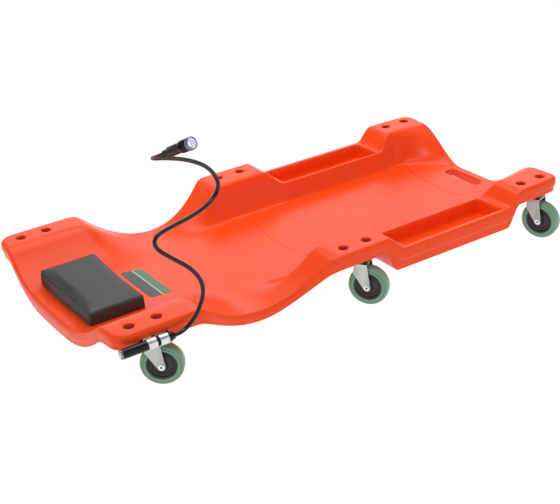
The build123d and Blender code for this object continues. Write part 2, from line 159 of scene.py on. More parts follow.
def material(name, colour, roughness=0.5, metallic=0.0, spread=0.06, scale=30.0, bump=0.0,
             bump_scale=400.0, rough_spread=0.05, subsurface=0.0, specular=0.5, stretch=(1, 1, 1),
             transmission=0.0, emission=0.0):
    """Shader with slow colour change, uneven gloss and a fine surface grain."""
    made = bpy.data.materials.new(name)
    made.use_nodes = True
    tree = made.node_tree
    shader = tree.nodes["Principled BSDF"]
    shader.inputs["Metallic"].default_value = metallic
    shader.inputs["Specular IOR Level"].default_value = specular
    shader.inputs["Subsurface Weight"].default_value = subsurface
    shader.inputs["Subsurface Radius"].default_value = SUBSURFACE_REACH
    shader.inputs["Subsurface Scale"].default_value = 0.5
    shader.inputs["Transmission Weight"].default_value = transmission
    if emission:
        shader.inputs["Emission Color"].default_value = (*colour, 1)
        shader.inputs["Emission Strength"].default_value = emission
    place = tree.nodes.new("ShaderNodeTexCoord")
    stretched = tree.nodes.new("ShaderNodeMapping")
    stretched.inputs["Scale"].default_value = stretch
    tree.links.new(place.outputs["Object"], stretched.inputs["Vector"])
    cloud = tree.nodes.new("ShaderNodeTexNoise")
    cloud.inputs["Scale"].default_value = scale
    cloud.inputs["Detail"].default_value = 4
    tree.links.new(stretched.outputs["Vector"], cloud.inputs["Vector"])
    ramp = tree.nodes.new("ShaderNodeValToRGB")
    ramp.color_ramp.elements[0].position = 0.3
    ramp.color_ramp.elements[1].position = 0.7
    ramp.color_ramp.elements[0].color = (*(c * (1 - spread) for c in colour), 1)
    ramp.color_ramp.elements[1].color = (*(min(1, c * (1 + spread)) for c in colour), 1)
    tree.links.new(cloud.outputs["Fac"], ramp.inputs["Fac"])
    tree.links.new(ramp.outputs["Color"], shader.inputs["Base Color"])
    gloss = tree.nodes.new("ShaderNodeMapRange")
    gloss.inputs["To Min"].default_value = max(0.02, roughness - rough_spread)
    gloss.inputs["To Max"].default_value = min(1.0, roughness + rough_spread)
    tree.links.new(cloud.outputs["Fac"], gloss.inputs["Value"])
    tree.links.new(gloss.outputs["Result"], shader.inputs["Roughness"])
    if bump:
        grain = tree.nodes.new("ShaderNodeTexNoise")
        grain.inputs["Scale"].default_value = bump_scale
        grain.inputs["Detail"].default_value = 6
        tree.links.new(stretched.outputs["Vector"], grain.inputs["Vector"])
        push = tree.nodes.new("ShaderNodeBump")
        push.inputs["Strength"].default_value = bump
        push.inputs["Distance"].default_value = GRAIN_DEPTH
        tree.links.new(grain.outputs["Fac"], push.inputs["Height"])
        tree.links.new(push.outputs["Normal"], shader.inputs["Normal"])
    return made


def make_materials():
    m = {}
    m["bed"] = material("orange_plastic", srgb(242, 70, 12), roughness=0.27, spread=0.03, scale=6,
                        bump=0.1, bump_scale=900, rough_spread=0.05, subsurface=0.06, specular=0.22)
    m["vinyl"] = material("black_vinyl", srgb(52, 53, 55), roughness=0.5, spread=0.08, scale=25,
                          bump=0.35, bump_scale=1400, specular=0.45)
    m["charcoal"] = material("sticker_charcoal", srgb(46, 48, 47), roughness=0.35, spread=0.06, scale=90)
    m["sticker_line"] = material("sticker_line", srgb(206, 208, 200), roughness=0.35, spread=0.03)
    m["sticker_green"] = material("sticker_green", srgb(58, 112, 74), roughness=0.35, spread=0.05, scale=70)
    m["welt"] = material("vinyl_seam", srgb(30, 30, 32), roughness=0.55, bump=0.3, bump_scale=1200)
    m["wood"] = material("plywood", srgb(176, 140, 96), roughness=0.7, spread=0.25, scale=18,
                         stretch=(1, 9, 9), bump=0.3, bump_scale=120)
    m["zinc"] = material("zinc_plate", srgb(222, 223, 222), roughness=0.2, metallic=1.0, spread=0.16,
                         scale=45, bump=0.08, bump_scale=500, rough_spread=0.1)
    m["dark_zinc"] = material("dark_zinc", srgb(128, 129, 128), roughness=0.3, metallic=1.0, spread=0.3,
                              scale=60, bump=0.1, bump_scale=500, rough_spread=0.12)
    # fork zinc: its uneven tone is partly the metal's own, and the streaks stretched up the legs are
    # painted reflections
    m["zinc_painted_streaks"] = material("zinc_painted_streaks", srgb(172, 174, 170), roughness=0.2, metallic=1.0,
                                 spread=0.32, scale=28, stretch=(1, 1, 0.35), bump=0.12,
                                 bump_scale=420, rough_spread=0.12)
    m["oxide"] = material("black_oxide", srgb(36, 30, 30), roughness=0.4, metallic=0.6, spread=0.15,
                          scale=120, bump=0.1, bump_scale=900)
    m["hub"] = material("hub_plastic", srgb(42, 36, 38), roughness=0.42, spread=0.1, scale=80,
                        bump=0.1, bump_scale=900)
    m["tyre"] = material("grey_green_rubber", srgb(112, 152, 127), roughness=0.34, spread=0.05, scale=40,
                         bump=0.08, bump_scale=700, subsurface=0.15)
    m["black"] = material("black_anodised", srgb(8, 8, 9), roughness=0.12, spread=0.2, scale=60,
                          bump=0.03, bump_scale=1500, specular=0.28)
    m["sheath"] = material("neck_sheath", srgb(7, 6, 6), roughness=0.12, spread=0.2, scale=90,
                           bump=0.04, bump_scale=1600, specular=0.42)
    m["grey"] = material("grey_metal", srgb(120, 124, 130), roughness=0.28, metallic=0.9, spread=0.1,
                         scale=80, bump=0.04, bump_scale=1500)
    m["pale"] = material("pale_rubber", srgb(214, 208, 188), roughness=0.5, spread=0.06, scale=120,
                         bump=0.1, bump_scale=1500)
    m["lens"] = material("lens_clear", (0.97, 0.98, 1.0), roughness=0.03, spread=0.01, rough_spread=0.01,
                         transmission=1.0, specular=0.25)
    # reflector cup glows by itself: a painted glow that stands in for the LED's light on it; the cup is no
    # lamp
    m["reflector"] = material("lamp_reflector", srgb(196, 200, 214), roughness=0.3, metallic=0.7,
                              spread=0.1, scale=260, rough_spread=0.1, emission=0.45)
    m["led"] = material("led_white", (0.86, 0.88, 0.95), roughness=0.3, spread=0.03, emission=5.0)
    m["cell"] = material("cell_wrap", srgb(70, 90, 150), roughness=0.3, spread=0.1)
    return m


# ------------------------------------------------------------------ mesh helpers

def add_mesh(name, points, faces, look, smooth=True, sharp=40):
    """New object; edges sharper than sharp degrees stay hard."""
    mesh = bpy.data.meshes.new(name)
    mesh.from_pydata([tuple(p) for p in points], [], [tuple(f) for f in faces])
    mesh.validate()
    mesh.update()
    for face in mesh.polygons:
        face.use_smooth = smooth
    if smooth and sharp:
        mesh.set_sharp_from_angle(angle=math.radians(sharp))
    mesh.materials.append(look)
    made = bpy.data.objects.new(name, mesh)
    bpy.context.scene.collection.objects.link(made)
    return made


def grid_faces(rows, columns, wrap_rows=False, wrap_columns=False, first=0):
    """Quads of a grid of points stored row by row."""
    faces = []
    for i in range(rows if wrap_rows else rows - 1):
        for j in range(columns if wrap_columns else columns - 1):
            below, beside = (i + 1) % rows, (j + 1) % columns
            faces.append((first + i * columns + j, first + i * columns + beside,
                          first + below * columns + beside, first + below * columns + j))
    return faces


def apply_modifiers(piece):
    """Keep the mesh that the modifiers give, and drop the modifiers."""
    graph = bpy.context.evaluated_depsgraph_get()
    mesh = bpy.data.meshes.new_from_object(piece.evaluated_get(graph), depsgraph=graph)
    old = piece.data
    piece.modifiers.clear()
    piece.data = mesh
    bpy.data.meshes.remove(old)


def soften(profile, radius, steps=3):
    """Round the corners of a closed outline of (along, out) points."""
    count = len(profile)
    most = 0.45  # of the shorter side beside a corner
    result = []
    for i in range(count):
        a, b, c = (np.array(profile[(i + k) % count], float) for k in (-1, 0, 1))
        r = min(radius, most * np.linalg.norm(a - b), most * np.linalg.norm(c - b))
        start = b + (a - b) / np.linalg.norm(a - b) * r
        end = b + (c - b) / np.linalg.norm(c - b) * r
        for k in range(steps + 1):
            t = k / steps
            result.append(tuple((1 - t) ** 2 * start + 2 * t * (1 - t) * b + t * t * end))
    return result


def lathe(name, profile, origin, axis, look, segments=72, ripple=None):
    """Closed profile of (along axis, radius) points turned about an axis; ripple changes the radius."""
    turn = WORLD_UP.rotation_difference(axis.normalized())
    points = []
    for i in range(segments):
        angle = 2 * math.pi * i / segments
        for along, out in profile:
            reach = out + (ripple(along, angle) if ripple else 0)
            p = turn @ Vector((reach * math.cos(angle), reach * math.sin(angle), along))
            points.append(p + origin)
    faces = grid_faces(segments, len(profile), wrap_rows=True, wrap_columns=True)
    piece = add_mesh(name, points, faces, look, sharp=35)
    fix_normals(piece)
    return piece


def fix_normals(piece):
    """Join points that meet and turn every face outwards."""
    work = bmesh.new()
    work.from_mesh(piece.data)
    bmesh.ops.remove_doubles(work, verts=work.verts, dist=1e-7)
    bmesh.ops.recalc_face_normals(work, faces=work.faces)
    work.to_mesh(piece.data)
    work.free()


def install(piece, node, body):
    """Put a piece in the place of a CAD node."""
    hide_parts(node)
    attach(piece, body)


def bevel(piece, width):
    """Round a CAD piece's edges."""
    edge = piece.modifiers.new("edge", "BEVEL")
    edge.width = width
    edge.segments = 2
    edge.limit_method = "ANGLE"
    edge.angle_limit = math.radians(35)


# ------------------------------------------------------------------ bed

# heights: the pads stand on the caster plates, and the rest is measured from the pads
pad_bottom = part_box("plate_mid_near")[1].z
pad_top = pad_bottom + 0.019
deck_top = pad_top - 0.065
deck_thick = 0.020
deck_bottom = deck_top - deck_thick
tray_rim, tray_bottom = pad_top - 0.030, pad_top - 0.070
tray_floor = deck_top + 0.008
head_rise = 0.012

# plan
head_end, foot_end = -0.508, 0.491
head_bow, foot_bow = 0.008, 0.007
head_bow_half, foot_bow_half = 0.217, 0.215
head_bow_fade, foot_bow_fade = 0.07, 0.04
bow_start = head_end + head_bow
head_half, side_half, foot_half, waist_half = 0.245, 0.242, 0.239, 0.2135
head_corner, foot_corner = 0.028, 0.024
waist_plan = (-0.328, -0.178, -0.058)
relief_x = (-0.336, -0.198, -0.062)
crest_power, bowl_power = 14, 2.2

# stations along the bed where its section changes
head_rise_x = (-0.400, -0.200)
bowl_x = (-0.330, -0.230)
wall_x = (-0.200, -0.060)
tray_head_x, tray_foot_x = (0.058, 0.098), (0.350, 0.386)
under_head_x, under_foot_x = (0.047, 0.078), (0.350, 0.382)
back_x, under_back_x = (-0.330, -0.040), (-0.330, -0.062)
fan_x = (0.385, 0.500)
foot_taper_x = (0.38, 0.48)

# wall, rim and the lip under the pads
wall_inset = 0.0024
rim_r, tray_rim_r = 0.0062, 0.0044
tray_rim_head_x, tray_rim_foot_x = (0.062, 0.090), (0.352, 0.380)
lip_drop, lip_wall = 0.009, (0.0012, 0.0030)
# share of the wall's height and of its inset, from the top edge down
wall_steps = ((0.30, 0.0), (0.42, 0.03), (0.47, 0.15), (0.52, 0.7), (0.57, 0.85), (0.72, 0.92))

# pockets, hand slot and back panel
pocket_x, pocket_y = (0.100, 0.345), (0.161, 0.231)
pocket_draft_x, pocket_draft_y = 0.009, (0.008, 0.007)
bolt_pocket_r, bolt_pocket_depth = 0.009, 0.011
bolt_pitch = 0.0513
mouth_r = 0.0014
slot_x, slot_length, slot_width = 0.450, 0.100, 0.026
slot_lip, slot_recess = 0.008, 0.012
panel_head_x, panel_foot_x = -0.003, 0.401
panel_head_half, panel_foot_half, panel_bow = 0.136, 0.130, 0.028


def ease(t):
    """Smooth step from 0 to 1."""
    t = np.clip(t, 0, 1)
    return t * t * (3 - 2 * t)


def rise(x, start, end):
    return ease((x - start) / (end - start))


def bowl(t):
    """Concave sweep from 0 at t = 0 to 1 with a rounded crest at t = 1."""
    share = np.maximum(t, 0) ** bowl_power
    return share / (1 + share ** crest_power) ** (1 / crest_power)


def relief(x):
    """Share of the pad height left by the arm relief: two parabolas that meet at the waist."""
    head, waist, foot = relief_x
    span = np.where(x < waist, waist - head, foot - waist)
    share = ((x - waist) / span) ** 2
    return share / (1 + share ** crest_power) ** (1 / crest_power)


def deck(x):
    """Height of the deck's middle: level under the back, higher under the head."""
    return deck_top + head_rise * (1 - rise(x, *head_rise_x))


def flank_top(x):
    """Height of the bed's outer flank."""
    dip = rise(x, *tray_head_x) - rise(x, *tray_foot_x)
    return np.where(x < 0, deck_top + (pad_top - deck_top) * relief(x),
                    pad_top - (pad_top - tray_rim) * dip)


def flank_bottom(x):
    """Underside of the flank: flat over the casters, lower under the trays."""
    drop = rise(x, *under_head_x) - rise(x, *under_foot_x)
    return np.where(x < 0, deck_bottom + (pad_bottom - deck_bottom) * relief(x),
                    pad_bottom - (pad_bottom - tray_bottom) * drop)


def across_share(x, y, start, end):
    """Share of the climb from deck to flank: a bowl under the head, an S-curve elsewhere."""
    head = 1 - rise(x, *bowl_x)
    return head * bowl((y - start) / (end - start)) + (1 - head) * rise(y, start, end)


def deck_surface(x, y):
    """Top surface without the tray pockets: it climbs to the flank between start and end."""
    start = 0.050 + 0.091 * rise(x, *back_x) - 0.101 * rise(x, *fan_x)
    end = 0.184 - 0.006 * rise(x, *wall_x) - 0.020 * rise(x, *tray_head_x) + 0.018 * rise(x, *tray_foot_x)
    middle = deck(x)
    return middle + (flank_top(x) - middle) * across_share(x, y, start, end)


def inside(v, ends, drafts):
    """1 between the ends and 0 outside, with a slope of its own draft at each end."""
    return rise(v, ends[0], ends[0] + drafts[0]) * (1 - rise(v, ends[1] - drafts[1], ends[1]))


def upper(x, y):
    """Top surface with the tray pockets."""
    height = deck_surface(x, y)
    along = inside(x, pocket_x, (pocket_draft_x, pocket_draft_x))
    across = inside(y, pocket_y, pocket_draft_y)
    return height - (height - tray_floor) * along * across


def lower(x, y):
    """Bottom surface, which clears the turning casters."""
    start = 0.045 + 0.095 * rise(x, *under_back_x) - 0.085 * rise(x, *fan_x)
    end = 0.184 - 0.012 * rise(x, *under_back_x) - 0.014 * rise(x, *tray_head_x) \
        + 0.010 * rise(x, *tray_foot_x)
    middle = deck(x) - deck_thick
    return middle + (flank_bottom(x) - middle) * across_share(x, y, start, end)


def half_width(x):
    """Half the bed's width: waist curves, then rounded corners at both ends."""
    first, waist, last = waist_plan
    end = np.where(x < waist, first, last)
    straight = np.where(x < waist, head_half,
                        side_half - (side_half - foot_half) * rise(x, *foot_taper_x))
    share = np.minimum(1, np.abs((x - waist) / (end - waist)))
    width = waist_half + (straight - waist_half) * share ** bowl_power
    for to_end, radius in ((x - bow_start, head_corner), (foot_end - x, foot_corner)):
        past = np.clip(radius - to_end, 0, radius)
        width = width - radius + np.sqrt(np.maximum(radius ** 2 - past ** 2, 0))
    return width


def bed_columns():
    """Stations along the bed, closer together at the ends and at the steps of trays and pockets."""
    ends = [0, 0.0002, 0.0008, 0.0018, 0.0034, 0.0055, 0.0082, 0.0115, 0.0155, 0.0205, 0.028, 0.036]
    pocket = [-0.002, 0, 0.0015, 0.003, 0.0045, 0.006, 0.0075, 0.009, 0.011]
    head_drop = [0.018, 0.012, 0.008, 0.005, 0.003, 0.0018, 0.0012, -0.0005]
    foot_drop = [-0.0025, -0.0008, -0.0002, 0.001, 0.003, 0.006, 0.010, 0.016]
    marks = list(np.arange(-0.458, 0.450, 0.0075))
    marks += [bow_start + v for v in ends] + [foot_end - v for v in ends]
    marks += [pocket_x[0] + v for v in pocket] + [pocket_x[1] - v for v in pocket]
    marks += [under_head_x[1] - v for v in head_drop] + [under_foot_x[0] + v for v in foot_drop]
    return thin_out(marks, 0.00045)


def bed_rows():
    """Stations across half the bed, as a share of the half width."""
    inner = [-0.003, -0.001, 0, 0.0012, 0.0025, 0.004, 0.0055, 0.007, 0.008, 0.0095]
    outer = [0.0085, 0.007, 0.0058, 0.0045, 0.003, 0.0015, 0, -0.0012, -0.0025]
    rim = [0.0075, 0.0062, 0.0048, 0.0034, 0.0022, 0.0012, 0.0005, 0.0001, 0]
    marks = list(np.arange(0, 0.088, 0.011)) + list(np.arange(0.090, 0.180, 0.0042))
    marks += list(np.arange(0.182, 0.222, 0.0065))
    marks += [pocket_y[0] + v for v in inner] + [pocket_y[1] - v for v in outer]
    marks += [side_half - v for v in rim]
    return [v / side_half for v in thin_out(marks, 0.0001)]


def thin_out(marks, gap):
    """Sorted marks without those that follow another within the gap."""
    kept = []
    for v in sorted(marks):
        if not kept or v - kept[-1] > gap:
            kept.append(float(v))
    return kept


def plan_grid(inset):
    """Plan positions of the bed's grid, pulled in from the outline by inset."""
    half = bed_rows()
    across = np.array([-v for v in reversed(half[1:])] + half)
    along = np.array(bed_columns())
    share = (along - bow_start) / (foot_end - bow_start)
    x = bow_start + inset + share * (foot_end - bow_start - 2 * inset)
    x = np.repeat(x[:, None], len(across), 1)
    width = half_width(along) - inset
    y = width[:, None] * across[None, :]
    bow = head_bow * (1 - (y / head_bow_half) ** 2) * (1 - rise(x, bow_start, bow_start + head_bow_fade))
    dip = foot_bow * (1 - (y / foot_bow_half) ** 2) * (1 - rise(foot_end - x, 0, foot_bow_fade))
    return x - bow - dip, y


def edge_distance(x, y):
    """Distance of every grid point from the grid's outer edge."""
    loop = np.array([(x[i, j], y[i, j]) for i, j in edge_loop(x.shape)])
    ahead = np.roll(loop, -1, axis=0)
    best = np.full(x.shape, 1.0)
    for (ax, ay), (bx, by) in zip(loop, ahead):
        dx, dy = bx - ax, by - ay
        length = dx * dx + dy * dy
        if length < 1e-14:
            continue
        t = np.clip(((x - ax) * dx + (y - ay) * dy) / length, 0, 1)
        best = np.minimum(best, np.hypot(x - ax - t * dx, y - ay - t * dy))
    return best


def edge_loop(shape):
    """Indices of the grid's outer edge, once round."""
    rows, columns = shape
    loop = [(i, 0) for i in range(rows)]
    loop += [(rows - 1, j) for j in range(1, columns)]
    loop += [(i, columns - 1) for i in range(rows - 2, -1, -1)]
    loop += [(0, j) for j in range(columns - 2, 0, -1)]
    return loop


def skirt(x):
    """Depth of the lip that hangs from the edge of the pads and hides the caster plates."""
    pads = np.where(x < 0, relief(x) ** 2, 1 - rise(x, *under_head_x) + rise(x, *under_foot_x))
    return lip_drop * pads


def bed_shell(look):
    """Skin of the bed: a top sheet with a rounded rim, a bottom sheet, and the wall between them."""
    x, y = plan_grid(0)
    tray = rise(x, *tray_rim_head_x) * (1 - rise(x, *tray_rim_foot_x))
    radius = rim_r - (rim_r - tray_rim_r) * tray
    past = np.maximum(radius - edge_distance(x, y), 0)
    top = upper(x, np.abs(y))
    top = top - radius + np.sqrt(np.maximum(radius ** 2 - past ** 2, 0))
    under_x, under_y = plan_grid(wall_inset)
    base = lower(under_x, np.abs(under_y))
    base = base - skirt(under_x) * (1 - rise(edge_distance(under_x, under_y), *lip_wall))
    rows, columns = x.shape
    count = rows * columns
    points = list(zip(x.ravel(), y.ravel(), top.ravel()))
    points += list(zip(under_x.ravel(), under_y.ravel(), base.ravel()))
    faces = [f[::-1] for f in grid_faces(rows, columns)]
    faces += grid_faces(rows, columns, first=count)
    loop = edge_loop(x.shape)
    rings = [[i * columns + j for i, j in loop]]
    for drop, inward in wall_steps:
        ring = []
        for i, j in loop:
            a = np.array((x[i, j], y[i, j], top[i, j]))
            b = np.array((under_x[i, j], under_y[i, j], base[i, j]))
            ring.append(len(points))
            points.append((*(a[:2] + (b[:2] - a[:2]) * inward), a[2] + (b[2] - a[2]) * drop))
        rings.append(ring)
    rings.append([count + i * columns + j for i, j in loop])
    for a, b in zip(rings, rings[1:]):
        for k in range(len(loop)):
            n = (k + 1) % len(loop)
            faces.append((a[k], a[n], b[n], b[k]))
    bed = add_mesh("bed_shell", points, faces, look, sharp=None)
    fix_normals(bed)
    return bed


def stadium(length, width, steps=12):
    """Outline of a slot that lies along Y."""
    straight, r = (length - width) / 2, width / 2
    outline = []
    for centre, begin in ((straight, 0), (-straight, math.pi)):
        for k in range(steps + 1):
            a = begin + math.pi * k / steps
            outline.append((r * math.cos(a), centre + r * math.sin(a)))
    return outline


def circle(radius, steps=32):
    turns = [2 * math.pi * k / steps for k in range(steps)]
    return [(radius * math.cos(turn), radius * math.sin(turn)) for turn in turns]


def outline_normals(outline):
    """Outward direction at each point of a closed outline that runs anticlockwise."""
    normals = []
    for k in range(len(outline)):
        (ax, ay), (bx, by) = outline[k - 1], outline[(k + 1) % len(outline)]
        normals.append(Vector((by - ay, ax - bx)).normalized())
    return normals


def cutter_rings(outline, centre, levels):
    """Closed prism through (height, growth) levels; growth widens the outline."""
    points = []
    size = len(outline)
    normals = outline_normals(outline)
    for height, growth in levels:
        for (px, py), n in zip(outline, normals):
            points.append((centre[0] + px + n.x * growth, centre[1] + py + n.y * growth, height))
    faces = grid_faces(len(levels), size, wrap_columns=True)
    faces.append(tuple(range(size))[::-1])
    faces.append(tuple(range(size * (len(levels) - 1), size * len(levels))))
    return points, faces


def rounded_mouth(surface):
    """Cutter levels from above a surface down through a rounded mouth in it."""
    r = mouth_r
    return [(surface + 0.012, r * 1.9), (surface + 0.0006, r * 1.9), (surface, r * 1.15),
            (surface - r * 0.35, r * 0.55), (surface - r * 0.9, r * 0.16), (surface - r * 1.7, 0)]


def cut(piece, points, faces):
    """Take a closed shape out of a piece."""
    look = piece.data.materials[0]
    tool = add_mesh("cutter", points, faces, look, smooth=False)
    fix_normals(tool)
    difference = piece.modifiers.new("cut", "BOOLEAN")
    difference.operation = "DIFFERENCE"
    difference.solver = "EXACT"
    difference.object = tool
    apply_modifiers(piece)
    bpy.data.objects.remove(tool)


def merge(parts):
    """Points and faces of several shapes as one."""
    points, faces = [], []
    for more_points, more_faces in parts:
        shift = len(points)
        points += more_points
        faces += [tuple(i + shift for i in f) for f in more_faces]
    return points, faces


def bolt_pockets():
    """Round pockets in the pads, over the caster bolts."""
    parts = []
    for name in CASTERS:
        low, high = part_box(f"plate_{name}")
        middle = (low + high) / 2
        for end in (-1, 1):
            levels = rounded_mouth(pad_top) + [(pad_top - bolt_pocket_depth, 0)]
            centre = (middle.x + end * bolt_pitch / 2, middle.y)
            parts.append(cutter_rings(circle(bolt_pocket_r), centre, levels))
    return merge(parts)


def hand_slot():
    """Hand slot with a thin lip and a wider recess under it."""
    lip = deck_top - slot_lip
    levels = rounded_mouth(deck_top)
    levels += [(lip + 0.0010, 0), (lip + 0.0002, 0.0004), (lip, 0.0014), (lip, slot_recess - 0.0020),
               (lip - 0.001, slot_recess - 0.0004), (lip - 0.003, slot_recess),
               (deck_bottom - 0.010, slot_recess)]
    return cutter_rings(stadium(slot_length, slot_width), (slot_x, 0), levels)


def panel_groove():
    """V groove round the back panel: straight sides, bowed ends."""
    def bowed_end(x, half):
        shares = [k / 30 for k in range(31)]
        return [(x + panel_bow * (-1 + (2 * t - 1) ** 2), -half + 2 * half * t) for t in shares]

    def straight_side(start, end):
        shares = [k / 24 for k in range(1, 24)]
        return [(start[0] + (end[0] - start[0]) * t, start[1] + (end[1] - start[1]) * t) for t in shares]

    head, foot = (panel_head_x, panel_head_half), (panel_foot_x, panel_foot_half)
    outline = bowed_end(*foot) + straight_side(foot, head) + bowed_end(panel_head_x, -panel_head_half)
    outline += straight_side((head[0], -head[1]), (foot[0], -foot[1]))
    normals = outline_normals(outline)
    points = []
    for across, height in ((-0.0015, 0.0012), (0, -0.0011), (0.0015, 0.0012), (0, 0.003)):
        points += [(px + n.x * across, py + n.y * across, deck_top + height)
                   for (px, py), n in zip(outline, normals)]
    return points, grid_faces(4, len(outline), wrap_rows=True, wrap_columns=True)


def make_bed():
    bed = bed_shell(looks["bed"])
    for cutter in (bolt_pockets(), hand_slot(), panel_groove()):
        cut(bed, *cutter)
    for face in bed.data.polygons:
        face.use_smooth = True
    bed.data.set_sharp_from_angle(angle=math.radians(38))
    install(bed, "bed", "bed_frame")


# ------------------------------------------------------------------ casters

# half profiles, from the wheel's middle: distance along the axle, then radius
TYRE_HALF = [
    (0.0104, 0.0262), (0.0117, 0.0270), (0.0120, 0.0280), (0.0120, 0.0304), (0.0104, 0.0313),
    (0.0102, 0.0324), (0.0112, 0.0333), (0.0108, 0.0350), (0.0090, 0.0366), (0.0062, 0.0375)]
HUB_HALF = [
    (0.0131, 0.0041), (0.0131, 0.0078), (0.0118, 0.0086), (0.0092, 0.0096), (0.0068, 0.0120),
    (0.0064, 0.0164), (0.0082, 0.0174), (0.0084, 0.0192), (0.0070, 0.0202), (0.0074, 0.0222),
    (0.0094, 0.0232), (0.0102, 0.0246), (0.0102, 0.0261)]


def joint_of(name):
    """Place and axis of a joint."""
    for joint in frame["record"]["behaviour"]["joints"]:
        if joint["name"] == name:
            return Vector(joint["pos_m"]), Vector(joint["axis"])
    raise KeyError(name)


def both_sides(half):
    """Closed profile from its positive half, given from the inside out."""
    return [(-along, out) for along, out in half] + [(along, out) for along, out in reversed(half)]


def make_wheels():
    tyre_profile = soften(both_sides(TYRE_HALF), 0.0006)
    hub_profile = soften(both_sides(HUB_HALF), 0.0005)
    for name in CASTERS:
        place, axis = joint_of(f"roll_{name}")
        tyre = lathe(f"tyre_{name}_look", tyre_profile, place, axis, looks["tyre"], segments=96)
        hub = lathe(f"hub_{name}_look", hub_profile, place, axis, looks["hub"], segments=80)
        install(tyre, f"tyre_{name}", f"wheel_{name}")
        install(hub, f"hub_{name}", f"wheel_{name}")


# ------------------------------------------------------------------ headrest cushion

# block that the cloth starts from, and the swelling
start_inset, start_cell, held_height = 0.0022, 0.0042, 0.002
swell_cap, swell_pressure, swell_stiffness, swell_frames = 0.0045, 4, 40, 20
# shaping after it, and how far the cover may stand out of the CAD cushion's box
side_pull, crown = 0.0016, 0.0016
far_reach, far_lift = 0.006, 0.005
stand_proud_low, stand_proud_high = Vector((0.004, 0.004, 0)), Vector((0.009, 0.009, 0.008))
# sewn line and folded corners
seam_drop, seam_depth, seam_width = 0.0045, 0.0009, 0.0016
seam_r, corner_r, corner_steps = 0.00065, 0.0008, 12


def cushion_block(low, high, inset, step):
    """Block of small quads, a little smaller than the cushion's space."""
    size = high - low
    work = bmesh.new()
    bmesh.ops.create_cube(work, size=1)
    for vertex in work.verts:
        vertex.co.x *= size.x - 2 * inset
        vertex.co.y *= size.y - 2 * inset
        vertex.co.z *= size.z - inset
    bmesh.ops.subdivide_edges(work, edges=work.edges, cuts=6, use_grid_fill=True)
    mesh = bpy.data.meshes.new("cushion_block")
    work.to_mesh(mesh)
    work.free()
    middle = (low + high) / 2
    for vertex in mesh.vertices:
        vertex.co += Vector((middle.x, middle.y, (low.z + high.z - inset) / 2))
    block = bpy.data.objects.new("cushion_cover", mesh)
    bpy.context.scene.collection.objects.link(block)
    cells = block.modifiers.new("cells", "REMESH")
    cells.mode = "VOXEL"
    cells.voxel_size = step
    apply_modifiers(block)
    return block


def swell(piece, cap):
    """Blow the cover up with cloth pressure; no point moves further than cap."""
    start = [vertex.co.copy() for vertex in piece.data.vertices]
    pinned = piece.vertex_groups.new(name="held")
    floor = min(p.z for p in start) + held_height
    pinned.add([i for i, p in enumerate(start) if p.z < floor], 1.0, "REPLACE")
    cloth = piece.modifiers.new("cover", "CLOTH")
    cloth.settings.use_pressure = True
    cloth.settings.uniform_pressure_force = swell_pressure
    cloth.settings.effector_weights.gravity = 0
    cloth.settings.vertex_group_mass = "held"
    cloth.settings.tension_stiffness = swell_stiffness
    cloth.settings.compression_stiffness = swell_stiffness
    cloth.settings.bending_stiffness = 4
    cloth.settings.quality = 6
    cloth.collision_settings.use_collision = False
    cloth.point_cache.frame_start = 1
    cloth.point_cache.frame_end = swell_frames
    for step in range(1, swell_frames + 1):
        bpy.context.scene.frame_set(step)
    apply_modifiers(piece)
    bpy.context.scene.frame_set(1)
    for vertex, home in zip(piece.data.vertices, start):
        move = vertex.co - home
        if move.length > cap:
            vertex.co = home + move * (cap / move.length)


def round_rectangle(middle, half, radius, step=0.003):
    """Points round a rectangle with rounded corners."""
    points = []
    for sx, sy, begin in ((1, 1, 0), (-1, 1, 90), (-1, -1, 180), (1, -1, 270)):
        for k in range(7):
            angle = math.radians(begin + 15 * k)
            points.append(Vector((middle.x + sx * (half.x - radius) + radius * math.cos(angle),
                                  middle.y + sy * (half.y - radius) + radius * math.sin(angle), 0)))
    filled = []
    for a, b in zip(points, points[1:] + points[:1]):
        count = max(1, int((b - a).length / step))
        filled += [a.lerp(b, k / count) for k in range(count)]
    return filled


def tube(name, path, radius, look, sides=10, closed=False, share=None):
    """Round bar along a path of points, without twist; share(0 to 1) scales the radius."""
    count = len(path)
    normal = None
    points = []
    for i, p in enumerate(path):
        before = path[i - 1] if i or closed else path[0]
        after = path[(i + 1) % count] if i < count - 1 or closed else path[-1]
        along = (after - before).normalized()
        if normal is None:
            normal = along.cross(WORLD_UP)
            if normal.length < 0.1:
                normal = along.cross(Vector((1, 0, 0)))
        normal = (normal - along * normal.dot(along)).normalized()
        side = along.cross(normal)
        reach = radius * (share(i / (count - 1)) if share else 1)
        for k in range(sides):
            angle = 2 * math.pi * k / sides
            points.append(p + (normal * math.cos(angle) + side * math.sin(angle)) * reach)
    faces = grid_faces(count, sides, wrap_rows=closed, wrap_columns=True)
    if not closed:
        faces.append(tuple(range(sides))[::-1])
        faces.append(tuple(range(sides * (count - 1), sides * count)))
    piece = add_mesh(name, points, faces, look, sharp=50)
    fix_normals(piece)
    return piece


def on_surface(piece, point, lift):
    """The piece's nearest point, lifted off its surface."""
    _, place, normal, _ = piece.closest_point_on_mesh(point)
    return place + normal * lift


def shape_cover(cover, low, high):
    """Pull the sides in between the corners, crown the top, and raise and lengthen the far end."""
    middle, half = (low + high) / 2, (high - low) / 2
    for vertex in cover.data.vertices:
        p = vertex.co
        u, v = (p.x - middle.x) / half.x, (p.y - middle.y) / half.y
        height = max(0.0, min(1.0, (p.z - low.z) / (high.z - low.z)))
        p.x -= math.copysign(side_pull * (1 - min(1, v * v)) * height, u) * min(1, abs(u)) ** 6
        p.y -= math.copysign(side_pull * (1 - min(1, u * u)) * height, v) * min(1, abs(v)) ** 6
        if p.z > middle.z:
            p.z += crown * (1 - u ** 2) * (1 - v ** 2) - crown / 2
        far = (v + 1) / 2
        p.y += far_reach * max(0.0, v)
        p.x += far_reach * max(0.0, u) * far
        p.z += far_lift * far * height
        p.z = max(p.z, low.z)


